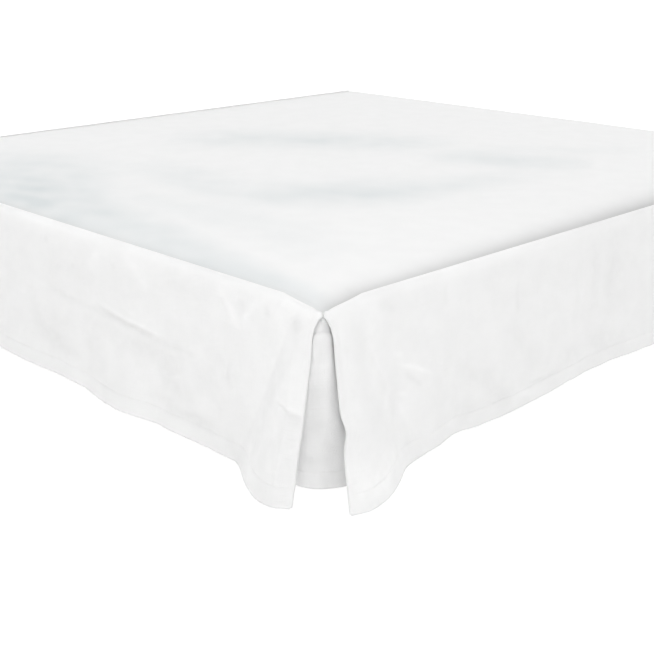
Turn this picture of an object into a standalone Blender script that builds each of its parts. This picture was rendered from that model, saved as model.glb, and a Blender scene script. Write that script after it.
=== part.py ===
"""King-size tailored bed skirt with split corners, on the plain bed base that it dresses.

Metres, +Z up. The origin is on the floor under the middle of the whole outline.
The foot end faces -Y, the open head end faces +Y.
"""

import math

import bmesh
import bpy
from mathutils import Vector

# The bed that the skirt is cut for, and the skirt's drop from seam to hem.
BED_WIDTH = 1.930
BED_LENGTH = 2.030
DROP = 0.354
HEM_CLEARANCE = 0.008

# Cloth.
CLOTH = 0.002
HEM_EXTRA = 0.001
HEM_HEIGHT = 0.038
HEM_STEP = 0.004
HEAD_HEM = 0.025
GAP = 0.0003

# How far the free hem stands out at the foot corners, which also centres the outline.
CORNER_REACH = 0.106
SEAM_Z = HEM_CLEARANCE + DROP
FOOT_Y = (CORNER_REACH - BED_LENGTH) / 2
HEAD_Y = FOOT_Y + BED_LENGTH
HALF_WIDTH = BED_WIDTH / 2

# The seam: the platform dips into a groove and the panel's rolled top stands over it.
GROOVE_DEPTH = 0.0095
GROOVE_WIDTH = 0.060
ROLL_IN = 0.003
ROLL_HEIGHT = 0.006
ROLL_START = 0.004
ROLL_FULL = 0.030
CORNER_DROOP = 0.0145
DROOP_LENGTH = 0.090
DROOP_POWER = 1.5

# The platform's crown, its undulations and how it turns down at the head end.
CROWN = 0.004
CROWN_WIDTH = 0.100
REST_RISE = 0.0045
REST_HALF = 0.150
REST_FADE = 0.200
TROUGH_DEPTH = 0.002
HEAD_TURN_DOWN = 0.018
HEAD_TURN_WIDTH = 0.045

# The slit at each foot corner, between two panels.
PANEL_START = 0.0008
SLIT_OPENING_SHARE = 0.042
SLIT_FADE = 0.25
KINK_AT = 0.60
KINK_WIDTH = 0.06

# How folds and flares grow from the seam to the hem.
FOLD_START_SHARE = 0.05
APEX_SHARE = 0.25
BUMP_POWER = 1.4
FOLD_NARROWING = 0.3
FOLD_POWER = 1.3

# The underlay behind each slit.
UNDERLAY_HALF_WIDTH = 0.160
UNDERLAY_BEHIND = 0.0010
UNDERLAY_SEAM_GAP = 0.0007
UNDERLAY_ROUNDING = 0.0115
UNDERLAY_BULGE = 0.020
UNDERLAY_BULGE_AT = 0.055
UNDERLAY_BULGE_FAR = 0.100
UNDERLAY_BULGE_POWER = 1.4

# The plain bed base and its legs.
BASE_INSET = 0.018
BASE_EDGE_RADIUS = 0.030
BASE_CORNER_RADIUS = 0.090
BASE_CROWN = 0.0055
BASE_CROWN_MARGIN = 0.055
BASE_RIM_TOP = SEAM_Z + CROWN - TROUGH_DEPTH - CLOTH - GAP - BASE_CROWN
LEG_HEIGHT = 0.150
LEG_TOP_RADIUS = 0.026
LEG_FOOT_RADIUS = 0.019
LEG_SIDES = 16
LEG_INSET = 0.150
LEG_EDGE = 0.003

# Folds of the hanging panels, at the hem. along: distance from the panel's first corner.
# near and far: how wide the fold is on each side. reach: how far it stands out.
# fans_from: the corner from which a flare fans out, or None for a plain shallow fold.
FOLD_COLUMNS = ("along", "near", "far", "reach", "fans_from")
FOOT_FOLDS = (
    (0.050, 0.140, 0.165, 0.075, "first"),
    (0.400, 0.120, 0.100, 0.005, None),
    (0.560, 0.120, 0.160, 0.022, None),
    (0.980, 0.180, 0.150, 0.006, None),
    (1.300, 0.160, 0.200, 0.017, None),
    (1.885, 0.180, 0.120, 0.070, "last"),
)
RIGHT_FOLDS = (
    (0.030, 0.150, 0.220, 0.106, "first"),
    (0.250, 0.075, 0.120, 0.023, None),
    (0.480, 0.160, 0.360, 0.020, None),
    (1.120, 0.200, 0.170, 0.012, None),
    (1.560, 0.150, 0.210, 0.019, None),
    (1.960, 0.160, 0.110, 0.014, None),
)
LEFT_FOLDS = (
    (0.045, 0.145, 0.170, 0.088, "first"),
    (0.300, 0.110, 0.130, 0.020, None),
    (0.720, 0.180, 0.160, 0.021, None),
    (1.250, 0.210, 0.180, 0.013, None),
    (1.700, 0.160, 0.180, 0.020, None),
)
# How each panel's hem leans out at its first and last corner, and how its slit edge runs:
# it opens just under the seam, comes back lower down and may have a small kink.
EDGE_COLUMNS = ("lean_first", "lean_last", "opening", "comeback", "kink")
FOOT_EDGES = (0.030, 0.026, 0.018, 0.034, 0.000)
RIGHT_EDGES = (0.002, 0.006, 0.021, 0.056, 0.010)
LEFT_EDGES = (0.010, 0.008, 0.018, 0.040, 0.005)
HEM_UNEVENNESS = 0.0012
HEM_WAVES = 5
HEM_WAVE_START = 0.7

# Broad undulations of the platform: swells, and troughs with a negative height.
# x and y: the middle. long and wide: half sizes. turn: degrees from +X to the long way.
SWELL_COLUMNS = ("x", "y", "long", "wide", "turn", "height")
SWELLS = (
    (0.380, -0.665, 0.500, 0.190, 0, 0.0050),
    (0.735, -0.150, 0.620, 0.200, 90, 0.0050),
    (0.000, -0.120, 0.480, 0.240, 29, 0.0045),
    (0.640, 0.680, 0.300, 0.230, 70, 0.0040),
    (-0.560, -0.600, 0.330, 0.200, 8, 0.0045),
    (-0.500, -0.080, 0.300, 0.220, 60, 0.0045),
    (-0.640, 0.600, 0.280, 0.220, 100, 0.0035),
    (0.020, 0.700, 0.330, 0.190, -12, 0.0045),
    (0.215, -0.812, 0.560, 0.090, -11, -0.0020),
    (0.015, -0.462, 0.420, 0.130, -11, -0.0020),
    (0.495, -0.012, 0.460, 0.130, 84, -0.0020),
    (-0.300, 0.380, 0.400, 0.120, 35, -0.0020),
)

# Grid spacing: fine where the cloth bends, coarse where it hangs flat.
CORNER_RUN = 0.260
CORNER_STEP = 0.014
PLAIN_STEP = 0.068
PANEL_ROWS = (0.0, ROLL_HEIGHT, 0.016, 0.036, 0.080, 0.140, 0.200, 0.260)
PLATFORM_EDGE = (0.0, 0.007, 0.016, 0.028, 0.045, 0.070, 0.105, 0.145)
PLATFORM_CELLS = 16
UNDERLAY_STEP = 0.018
UNDERLAY_ROWS = (0.0, 0.030, 0.080, 0.150, 0.220)

# name: colour, roughness
FINISHES = {
    "linen": ((0.87, 0.87, 0.86, 1.0), 0.90),
    "cotton": ((0.84, 0.86, 0.86, 1.0), 0.85),
    "base_cloth": ((0.72, 0.71, 0.69, 1.0), 0.90),
    "leg_wood": ((0.55, 0.42, 0.28, 1.0), 0.55),
}


def clear_scene():
    for obj in list(bpy.data.objects):
        bpy.data.objects.remove(obj)


def finish(name):
    material = bpy.data.materials.get(name)
    if material:
        return material
    colour, roughness = FINISHES[name]
    material = bpy.data.materials.new(name)
    material.use_nodes = True
    shader = material.node_tree.nodes["Principled BSDF"]
    shader.inputs["Base Color"].default_value = colour
    shader.inputs["Roughness"].default_value = roughness
    shader.inputs["Metallic"].default_value = 0.0
    return material


def add_object(name, bm, material, smooth_angle=math.radians(50)):
    mesh = bpy.data.meshes.new(name)
    bm.to_mesh(mesh)
    bm.free()
    mesh.materials.append(finish(material))
    mesh.shade_smooth()
    mesh.set_sharp_from_angle(angle=smooth_angle)
    obj = bpy.data.objects.new(name, mesh)
    bpy.context.scene.collection.objects.link(obj)
    return obj


def rows_of(columns, table):
    return [dict(zip(columns, row)) for row in table]


def smoothstep(x):
    x = min(1.0, max(0.0, x))
    return x * x * (3 - 2 * x)


def bump(offset, near, far):
    """1 in the middle, 0 past near on one side and far on the other, with soft shoulders."""
    share = offset / (far if offset > 0 else near)
    if abs(share) >= 1:
        return 0.0
    return math.cos(math.pi / 2 * share) ** BUMP_POWER


def stations(stretches):
    """Positions along a run, from (start, end, step) stretches that follow each other."""
    found = [stretches[0][0]]
    for start, end, step in stretches:
        count = max(1, round((end - start) / step))
        found += [start + (end - start) * (i + 1) / count for i in range(count)]
    return found


def panel_rows(first_rows, height):
    """Distances down the cloth, with a short step where the hem's second layer ends."""
    hem = height - HEM_HEIGHT
    return [*first_rows, hem, hem + HEM_STEP, height]


def grid_sheet(columns, rows, place):
    """A sheet of quads whose points lie at place(column, row)."""
    bm = bmesh.new()
    bmesh.ops.create_grid(
        bm, x_segments=len(columns) - 1, y_segments=len(rows) - 1, size=0.5
    )
    bm.verts.ensure_lookup_table()
    for index, vert in enumerate(bm.verts):
        row, column = divmod(index, len(columns))
        vert.co = place(columns[column], rows[row])
    bm.normal_update()
    return bm


def face_outwards(bm, outward):
    """Turns the sheet's faces to the side that outward(centre) points to."""
    middle = max(bm.faces, key=lambda face: face.calc_area())
    if middle.normal.dot(outward(middle.calc_center_median())) < 0:
        bmesh.ops.reverse_faces(bm, faces=bm.faces)


def thicken(obj, columns, rows, doubled_from):
    """Gives the sheet its thickness inwards, with one more layer on the rows of the hem."""
    hem = obj.vertex_groups.new(name="hem")
    single = CLOTH / (CLOTH + HEM_EXTRA)
    for index in range(len(columns) * len(rows)):
        doubled = rows[index // len(columns)] >= doubled_from
        hem.add([index], 1.0 if doubled else single, "REPLACE")
    solid = obj.modifiers.new("thickness", "SOLIDIFY")
    solid.thickness = CLOTH + HEM_EXTRA
    solid.offset = -1.0
    solid.vertex_group = "hem"
    solid.use_rim = True
    return solid


def droop(distance):
    """How far the seam sags towards a foot corner that stands clear of the base."""
    return CORNER_DROOP * max(0.0, 1 - distance / DROOP_LENGTH) ** DROOP_POWER


def flare_width(share):
    """How a flare fans out: its width at a share of the way down, beside that at the hem."""
    return APEX_SHARE + (1 - APEX_SHARE) * share


def fold_reach(fold, along, share, length):
    """How far one fold stands out, at a share of the way from the seam to the hem."""
    if fold["fans_from"] == "first":
        width, power = flare_width(share), 1.0
        middle = fold["along"] * width
    elif fold["fans_from"] == "last":
        width, power = flare_width(share), 1.0
        middle = length - (length - fold["along"]) * width
    else:
        width, power = 1 - FOLD_NARROWING * (1 - share), FOLD_POWER
        middle = fold["along"]
    shape = bump(along - middle, fold["near"] * width, fold["far"] * width)
    return fold["reach"] * share**power * shape


def slit_shift(edges, along, share):
    """How far the cloth near a slit is drawn away from the corner."""
    shift = edges["opening"] * (1 - math.exp(-share / SLIT_OPENING_SHARE))
    shift -= edges["comeback"] * share
    shift += edges["kink"] * math.exp(-(((share - KINK_AT) / KINK_WIDTH) ** 2))
    return shift * max(0.0, 1 - along / SLIT_FADE)


def make_panel(name, corner, along, outward, length, folds, edges, slit_at_end):
    """One hanging panel, from the seam to the hem, open at the foot corners."""
    folds = rows_of(FOLD_COLUMNS, folds)
    edges = dict(zip(EDGE_COLUMNS, edges))
    corner, along, outward = Vector(corner), Vector(along), Vector(outward)
    last = length - PANEL_START if slit_at_end else length
    runs = [(PANEL_START, CORNER_RUN, CORNER_STEP)]
    if slit_at_end:
        runs.append((CORNER_RUN, length - CORNER_RUN, PLAIN_STEP))
        runs.append((length - CORNER_RUN, last, CORNER_STEP))
    else:
        runs.append((CORNER_RUN, last, PLAIN_STEP))
    columns = stations(runs)
    rows = panel_rows(PANEL_ROWS, DROP)

    def place(s, down):
        share = max(0.0, down / DROP - FOLD_START_SHARE) / (1 - FOLD_START_SHARE)
        to_slit = min(s, length - s) if slit_at_end else s
        roll = ROLL_IN * smoothstep((to_slit - ROLL_START) / ROLL_FULL)
        out = CLOTH - roll * max(0.0, 1 - down / ROLL_HEIGHT)
        steady = edges["lean_first"] + (edges["lean_last"] - edges["lean_first"]) * s / length
        out += steady * share**FOLD_POWER
        out += sum(fold_reach(fold, s, share, length) for fold in folds)
        shift = slit_shift(edges, s, share)
        seam = SEAM_Z - droop(s)
        if slit_at_end:
            shift -= slit_shift(edges, length - s, share)
            seam -= droop(length - s)
        wave = math.sin(2 * math.pi * HEM_WAVES * s / length + HEM_WAVE_START)
        hem = HEM_CLEARANCE + HEM_UNEVENNESS * (1 + wave) / 2
        height = seam + (hem - seam) * down / DROP
        return corner + along * (s + shift) + outward * out + Vector((0, 0, height))

    bm = grid_sheet(columns, rows, place)
    face_outwards(bm, lambda centre: outward)
    obj = add_object(name, bm, "linen")
    thicken(obj, columns, rows, DROP - HEM_HEIGHT + HEM_STEP)
    return obj


def platform_height(x, y):
    """Height of the platform's top side above the seam's ridge."""
    side = HALF_WIDTH - abs(x)
    foot = y - FOOT_Y
    head = HEAD_Y - y
    edge = min(side, foot)
    swelling = 0.0
    for swell in rows_of(SWELL_COLUMNS, SWELLS):
        turn = math.radians(swell["turn"])
        from_x, from_y = x - swell["x"], y - swell["y"]
        lengthwise = from_x * math.cos(turn) + from_y * math.sin(turn)
        crosswise = from_y * math.cos(turn) - from_x * math.sin(turn)
        reach = math.hypot(lengthwise / swell["long"], crosswise / swell["wide"])
        swelling += swell["height"] * smoothstep(1 - reach)
    from_rest = max(abs(x), abs(y - (FOOT_Y + HEAD_Y) / 2)) - REST_HALF
    swelling += (REST_RISE - swelling) * smoothstep(1 - from_rest / REST_FADE)
    height = swelling + CROWN * (1 - max(0.0, 1 - edge / CROWN_WIDTH) ** 2)
    height -= GROOVE_DEPTH * max(0.0, 1 - edge / GROOVE_WIDTH) ** 2
    height -= HEAD_TURN_DOWN * max(0.0, 1 - head / HEAD_TURN_WIDTH) ** 2
    return height - droop(math.hypot(side, foot))


def make_platform():
    """The cloth that lies on the base and carries the panels at its edge."""
    half = HALF_WIDTH - GAP
    inner = PLATFORM_EDGE[-1]
    side_edge = [-half + d for d in PLATFORM_EDGE]
    columns = stations([(side_edge[-1], -side_edge[-1], 2 * (half - inner) / PLATFORM_CELLS)])
    columns = side_edge[:-1] + columns + [-x for x in reversed(side_edge[:-1])]
    foot, head = FOOT_Y + GAP, HEAD_Y - GAP
    foot_edge = [foot + d for d in PLATFORM_EDGE]
    head_edge = [head - d for d in PLATFORM_EDGE]
    rows = stations([(foot_edge[-1], head_edge[-1], (head - foot - 2 * inner) / PLATFORM_CELLS)])
    rows = foot_edge[:-1] + rows + list(reversed(head_edge[:-1]))

    def place(x, y):
        return Vector((x, y, SEAM_Z + platform_height(x, y)))

    bm = grid_sheet(columns, rows, place)
    face_outwards(bm, lambda centre: Vector((0, 0, 1)))
    obj = add_object("platform", bm, "cotton")
    thicken(obj, columns, rows, head - HEAD_HEM)
    return obj


def make_underlay(name, corner, along_side):
    """The piece behind a slit: it wraps the corner and shows between the two panels."""
    corner = Vector(corner)
    along_foot = Vector((-math.copysign(1, corner.x), 0, 0))
    along_side = Vector(along_side)
    top = SEAM_Z - GROOVE_DEPTH - CLOTH - UNDERLAY_SEAM_GAP
    height = top - HEM_CLEARANCE
    columns = stations([(-UNDERLAY_HALF_WIDTH, UNDERLAY_HALF_WIDTH, UNDERLAY_STEP)])
    rows = panel_rows(UNDERLAY_ROWS, height)

    def place(u, down):
        share = down / height
        spread = flare_width(share)
        middle, far = UNDERLAY_BULGE_AT * spread, UNDERLAY_BULGE_FAR * spread
        root = math.hypot(u, UNDERLAY_ROUNDING)
        on_foot, on_side = (u + root) / 2, (-u + root) / 2
        out = UNDERLAY_BULGE * share**UNDERLAY_BULGE_POWER
        out *= bump(abs(u) - middle, middle, far)
        out -= UNDERLAY_BEHIND
        outward = -along_side if u > 0 else -along_foot
        seam = top - droop(abs(u))
        z = seam + (HEM_CLEARANCE - seam) * share
        flat = along_foot * on_foot + along_side * on_side + outward * out
        return corner + flat + Vector((0, 0, z))

    bm = grid_sheet(columns, rows, place)
    face_outwards(bm, lambda centre: -(along_foot + along_side))
    obj = add_object(name, bm, "linen")
    thicken(obj, columns, rows, height - HEM_HEIGHT + HEM_STEP)
    return obj


def make_base():
    """The plain padded box that the platform lies on, with rounded corners and edges."""
    half_x = HALF_WIDTH - BASE_INSET
    half_y = BED_LENGTH / 2 - BASE_INSET
    middle_y = (FOOT_Y + HEAD_Y) / 2
    bottom = LEG_HEIGHT + GAP
    bm = bmesh.new()
    bmesh.ops.create_cube(bm, size=1.0)
    bmesh.ops.scale(bm, verts=bm.verts, vec=(2 * half_x, 2 * half_y, BASE_RIM_TOP - bottom))
    bmesh.ops.translate(bm, verts=bm.verts, vec=(0, middle_y, (BASE_RIM_TOP + bottom) / 2))
    upright = [
        edge
        for edge in bm.edges
        if abs(edge.verts[0].co.z - edge.verts[1].co.z) > (BASE_RIM_TOP - bottom) / 2
    ]
    bmesh.ops.bevel(
        bm, geom=upright, offset=BASE_CORNER_RADIUS, segments=6, profile=0.5, affect="EDGES", material=-1
    )
    top = [edge for edge in bm.edges if min(v.co.z for v in edge.verts) > BASE_RIM_TOP - GAP]
    bmesh.ops.bevel(
        bm, geom=top, offset=BASE_EDGE_RADIUS, segments=5, profile=0.5, affect="EDGES", material=-1
    )
    lid = max(bm.faces, key=lambda face: face.calc_center_median().z)
    bmesh.ops.inset_region(bm, faces=[lid], thickness=BASE_CROWN_MARGIN)
    bmesh.ops.translate(bm, verts=lid.verts, vec=(0, 0, BASE_CROWN))
    return add_object("bed_base", bm, "base_cloth", math.radians(35))


def make_legs():
    side = HALF_WIDTH - LEG_INSET
    ends = {"foot": FOOT_Y + LEG_INSET, "head": HEAD_Y - LEG_INSET}
    for end, y in ends.items():
        for place, x in (("left", -side), ("middle", 0.0), ("right", side)):
            bm = bmesh.new()
            bmesh.ops.create_cone(
                bm,
                cap_ends=True,
                segments=LEG_SIDES,
                radius1=LEG_FOOT_RADIUS,
                radius2=LEG_TOP_RADIUS,
                depth=LEG_HEIGHT,
            )
            foot_rim = [e for e in bm.edges if max(v.co.z for v in e.verts) < 0]
            bmesh.ops.bevel(
                bm, geom=foot_rim, offset=LEG_EDGE, segments=2, profile=0.5, affect="EDGES", material=-1
            )
            leg = add_object(f"leg_{end}_{place}", bm, "leg_wood", math.radians(40))
            leg.location = (x, y, LEG_HEIGHT / 2)


def main():
    clear_scene()
    right_corner = (HALF_WIDTH, FOOT_Y, 0)
    left_corner = (-HALF_WIDTH, FOOT_Y, 0)
    make_platform()
    make_panel(
        "panel_foot", right_corner, (-1, 0, 0), (0, -1, 0), BED_WIDTH, FOOT_FOLDS, FOOT_EDGES, True
    )
    make_panel(
        "panel_right", right_corner, (0, 1, 0), (1, 0, 0), BED_LENGTH, RIGHT_FOLDS, RIGHT_EDGES, False
    )
    make_panel(
        "panel_left", left_corner, (0, 1, 0), (-1, 0, 0), BED_LENGTH, LEFT_FOLDS, LEFT_EDGES, False
    )
    make_underlay("underlay_right", right_corner, (0, 1, 0))
    make_underlay("underlay_left", left_corner, (0, 1, 0))
    make_base()
    make_legs()


main()
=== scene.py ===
import math

import bmesh
import bpy
import numpy as np
from mathutils import Matrix, Vector


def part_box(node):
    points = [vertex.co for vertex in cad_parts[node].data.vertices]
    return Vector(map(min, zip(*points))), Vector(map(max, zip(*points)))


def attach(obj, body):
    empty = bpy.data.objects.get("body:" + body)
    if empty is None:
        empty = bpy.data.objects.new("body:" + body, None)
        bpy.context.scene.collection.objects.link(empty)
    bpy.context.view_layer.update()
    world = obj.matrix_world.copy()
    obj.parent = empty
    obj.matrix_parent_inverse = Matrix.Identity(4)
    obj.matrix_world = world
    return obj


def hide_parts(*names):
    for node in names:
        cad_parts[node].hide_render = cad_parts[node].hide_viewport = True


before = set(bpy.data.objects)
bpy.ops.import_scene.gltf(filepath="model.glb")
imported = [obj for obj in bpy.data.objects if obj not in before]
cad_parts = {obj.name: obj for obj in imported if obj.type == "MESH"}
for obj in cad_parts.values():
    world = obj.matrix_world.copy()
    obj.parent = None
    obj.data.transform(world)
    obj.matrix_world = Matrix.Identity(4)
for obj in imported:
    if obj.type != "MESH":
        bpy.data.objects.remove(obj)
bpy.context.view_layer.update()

print("frame loaded,", len(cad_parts), "nodes")


# sizes that every cloth shares, read from the frame where it has them
deckLow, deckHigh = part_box("platform")
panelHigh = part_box("panel_foot")[1]
seamGap = 0.0003
halfWidth = deckHigh[0] + seamGap
footY = deckLow[1] - seamGap
headY = deckHigh[1] + seamGap
seamZ = panelHigh[2]
millimetre = 0.001

cloth = {
    "solidCloth": 0.002,  # thickness of the plain solids that the cloths stand for
    "thickness": 0.0011,
    "hemThickness": 0.0019,
    "drop": 0.354,
    "hemClearance": 0.008,
    "hemHeight": 0.036,
    "hemStitchBelow": 0.0025,
    "hemLineRows": (0.003, 0.006, 0.0013, 0.0045),  # above and below the line, fine and coarse step
    "sideHem": 0.011,
    "hemStep": 0.00015,
    "seamAllowance": 0.012,
    "droop": 0.0119,
    "droopLength": 0.100,
    "droopPower": 1.6,
    "flareApex": 0.25,
    "specular": 0.25,
    "uvLayer": "cut",
}


def addNode(tree, kind, settings=None, **inputs):
    node = tree.nodes.new(kind)
    for key, value in (settings or {}).items():
        setattr(node, key, value)
    for key, value in inputs.items():
        socket = node.inputs[int(key[1:])] if key[0] == "i" and key[1:].isdigit() else node.inputs[key]
        if isinstance(value, bpy.types.NodeSocket):
            tree.links.new(value, socket)
        else:
            socket.default_value = value
    return node


def calc(tree, operation, first, second=0.0, third=0.0):
    node = addNode(tree, "ShaderNodeMath", {"operation": operation}, i0=first, i1=second, i2=third)
    return node.outputs[0]


def noise(tree, place, scale, detail, **others):
    return addNode(tree, "ShaderNodeTexNoise", Vector=place, Scale=scale, Detail=detail, **others)


def risingFrom(tree, value, low, high):
    # 0 below low, 1 above high and smooth between them
    node = addNode(tree, "ShaderNodeMapRange", {"interpolation_type": "SMOOTHSTEP"}, Value=value,
                   **{"From Min": low, "From Max": high})
    return node.outputs["Result"]


def mixColour(tree, factor, first, second):
    node = addNode(tree, "ShaderNodeMix", {"data_type": "RGBA"}, Factor=factor, A=first, B=second)
    return node.outputs["Result"]


def newGroup(name, inputs, outputs):
    group = bpy.data.node_groups.new(name, "ShaderNodeTree")
    for label, kind, value in inputs:
        socket = group.interface.new_socket(name=label, in_out="INPUT", socket_type=kind)
        if value is not None:
            socket.default_value = value
    for label, kind in outputs:
        group.interface.new_socket(name=label, in_out="OUTPUT", socket_type=kind)
    return group, group.nodes.new("NodeGroupInput"), group.nodes.new("NodeGroupOutput")


def newMaterial(name, values):
    material = bpy.data.materials.new(name)
    material.use_nodes = True
    tree = material.node_tree
    shader = tree.nodes["Principled BSDF"]
    for label, value in values.items():
        shader.inputs[label].default_value = value
    return material, tree, shader


weaveShape = {"wobble": 70.0, "slubFrom": 0.52, "slubTo": 0.74, "slubHeight": 1.4}
crumpleShape = {"fine": 120.0, "broad": 17.0, "fineShare": 0.35, "patchFrom": 0.32, "patchTo": 0.68}
number, vector = "NodeSocketFloat", "NodeSocketVector"


def stretchedNoise(tree, along, across, u, v):
    # noise drawn out along one yarn direction
    place = addNode(tree, "ShaderNodeCombineXYZ", X=calc(tree, "MULTIPLY", u, along),
                    Y=calc(tree, "MULTIPLY", v, across))
    return noise(tree, place.outputs[0], 1.0, 2.0, Roughness=0.5).outputs["Fac"]


def makeWeave():
    # plain weave with uneven yarns: Height for the bump, Slub marks the thick yarns
    group, given, made = newGroup(
        "plainWeave",
        [("Cut", vector, None), ("Yarns", number, 1400.0), ("Wander", number, 0.0006),
         ("SlubLength", number, 30.0), ("SlubWidth", number, 650.0)],
        [("Height", number), ("Slub", number)],
    )
    wobble = noise(group, given.outputs["Cut"], weaveShape["wobble"], 2.0)
    centred = addNode(group, "ShaderNodeVectorMath", {"operation": "SUBTRACT"},
                      i0=wobble.outputs["Color"], i1=(0.5, 0.5, 0.5))
    scaled = addNode(group, "ShaderNodeVectorMath", {"operation": "SCALE"},
                     i0=centred.outputs[0], Scale=given.outputs["Wander"])
    moved = addNode(group, "ShaderNodeVectorMath", {"operation": "ADD"},
                    i0=given.outputs["Cut"], i1=scaled.outputs[0])
    parts = addNode(group, "ShaderNodeSeparateXYZ", i0=moved.outputs[0])
    u, v = parts.outputs[0], parts.outputs[1]
    halfTurns = calc(group, "MULTIPLY", given.outputs["Yarns"], math.pi)
    warp = calc(group, "SINE", calc(group, "MULTIPLY", u, halfTurns))
    weft = calc(group, "SINE", calc(group, "MULTIPLY", v, halfTurns))
    warpOver = calc(group, "GREATER_THAN", calc(group, "MULTIPLY", warp, weft), 0.0)
    over = calc(group, "MULTIPLY", warpOver, calc(group, "ABSOLUTE", warp))
    under = calc(group, "MULTIPLY", calc(group, "SUBTRACT", 1.0, warpOver), calc(group, "ABSOLUTE", weft))
    long, wide = given.outputs["SlubLength"], given.outputs["SlubWidth"]
    slubs = calc(group, "MAXIMUM", stretchedNoise(group, long, wide, u, v),
                 stretchedNoise(group, wide, long, u, v))
    slub = risingFrom(group, slubs, weaveShape["slubFrom"], weaveShape["slubTo"])
    raised = calc(group, "MULTIPLY", slub, weaveShape["slubHeight"])
    group.links.new(calc(group, "ADD", calc(group, "ADD", over, under), raised), made.inputs["Height"])
    group.links.new(slub, made.inputs["Slub"])
    return group


def makeCrumple():
    # soft unevenness a few millimetres to a few centimetres wide
    look = crumpleShape
    group, given, made = newGroup(
        "crumple",
        [("Cut", vector, None), ("Fine", number, look["fine"]), ("Broad", number, look["broad"])],
        [("Height", number), ("Patches", number)],
    )
    fine = noise(group, given.outputs["Cut"], given.outputs["Fine"], 3.0).outputs["Fac"]
    broad = noise(group, given.outputs["Cut"], given.outputs["Broad"], 4.0).outputs["Fac"]
    height = calc(group, "ADD", calc(group, "MULTIPLY", fine, look["fineShare"]), broad)
    group.links.new(height, made.inputs["Height"])
    group.links.new(risingFrom(group, broad, look["patchFrom"], look["patchTo"]), made.inputs["Patches"])
    return group


weaveGroup = makeWeave()
crumpleGroup = makeCrumple()

linen = {
    "light": (0.910, 0.910, 0.908, 1.0),
    "deep": (0.680, 0.680, 0.678, 1.0),
    # share of deep everywhere, and how much patches, slubs and the creases' painted shade and highlight
    # change it
    "tone": (0.29, 0.08, 0.06, 0.22),
    "roughness": 0.88,
    "sheen": 0.10,
    "yarns": 1350.0,
    "wander": 0.0007,
    "slubLength": 34.0,
    "slubWidth": 600.0,
    # colours of painted light on the ridges and in the slits, and of painted shade on the slits' caps
    "paintedLight": (0.960, 0.960, 0.960, 1.0),
    "paintedShade": (0.640, 0.640, 0.640, 1.0),
    "weaveDepth": 0.00022,
    "crumpleDepth": 0.0011,
}
cotton = {
    "light": (0.823, 0.824, 0.823, 1.0),
    "deep": (0.780, 0.782, 0.781, 1.0),
    "tone": (0.40, 0.30, 0.08, 0.0),
    # colours of painted cool shade in the deck's wedge and hollows, and of painted shade beside its seams
    "paintedCoolShade": (0.630, 0.664, 0.671, 1.0),
    "paintedShade": (0.545, 0.545, 0.545, 1.0),
    "roughness": 0.80,
    "sheen": 0.05,
    "yarns": 3000.0,
    "wander": 0.0002,
    "slubLength": 12.0,
    "slubWidth": 900.0,
    "weaveDepth": 0.00006,
    "crumpleDepth": 0.0008,
}
coverCloth = {
    "light": (0.740, 0.725, 0.700, 1.0),
    "deep": (0.610, 0.597, 0.574, 1.0),
    "tone": (0.45, 0.16, 0.25, 0.0),
    "roughness": 0.92,
    "sheen": 0.15,
    "yarns": 800.0,
    "wander": 0.0011,
    "slubLength": 40.0,
    "slubWidth": 420.0,
    "weaveDepth": 0.0004,
    "crumpleDepth": 0.0004,
}


def clothMaterial(name, look, useUv=True):
    material, tree, shader = newMaterial(name, {
        "Roughness": look["roughness"], "Sheen Weight": look["sheen"],
        "Specular IOR Level": cloth["specular"],
    })
    if useUv:
        place = addNode(tree, "ShaderNodeUVMap", {"uv_map": cloth["uvLayer"]}).outputs["UV"]
    else:
        place = addNode(tree, "ShaderNodeTexCoord").outputs["Object"]
    weave = addNode(tree, "ShaderNodeGroup", {"node_tree": weaveGroup}, Cut=place, Yarns=look["yarns"],
                    Wander=look["wander"], SlubLength=look["slubLength"], SlubWidth=look["slubWidth"])
    crumple = addNode(tree, "ShaderNodeGroup", {"node_tree": crumpleGroup}, Cut=place)
    base, fromPatches, fromSlubs, fromPaintedShading = look["tone"]
    tone = calc(tree, "MULTIPLY_ADD", crumple.outputs["Patches"], fromPatches, base - fromPatches / 2)
    tone = calc(tree, "MULTIPLY_ADD", weave.outputs["Slub"], fromSlubs, tone)
    # painted shade and painted highlight along the creases darken or lighten the colour
    if fromPaintedShading:
        paintedShading = addNode(tree, "ShaderNodeAttribute", {"attribute_name": "paintedShading"})
        tone = calc(tree, "MULTIPLY_ADD", paintedShading.outputs["Fac"], fromPaintedShading, tone)
    result = mixColour(tree, tone, look["light"], look["deep"])
    # painted cool shade on the deck's wedge and hollows, painted shade beside the deck's seams and on the
    # slits' caps, painted light on the panels' ridges and the slits' sides
    for label in ("paintedCoolShade", "paintedShade", "paintedLight"):
        if label in look:
            where = addNode(tree, "ShaderNodeAttribute", {"attribute_name": label})
            result = mixColour(tree, where.outputs["Fac"], result, look[label])
    tree.links.new(result, shader.inputs["Base Color"])
    soft = addNode(tree, "ShaderNodeBump", Strength=1.0, Distance=look["crumpleDepth"],
                   Height=crumple.outputs["Height"])
    fine = addNode(tree, "ShaderNodeBump", Strength=1.0, Distance=look["weaveDepth"],
                   Height=weave.outputs["Height"], Normal=soft.outputs["Normal"])
    tree.links.new(fine.outputs["Normal"], shader.inputs["Normal"])
    return material


linenMaterial = clothMaterial("skirtLinen", linen)
cottonMaterial = clothMaterial("deckCotton", cotton)
coverMaterial = clothMaterial("baseCoverCloth", coverCloth, useUv=False)

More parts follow.
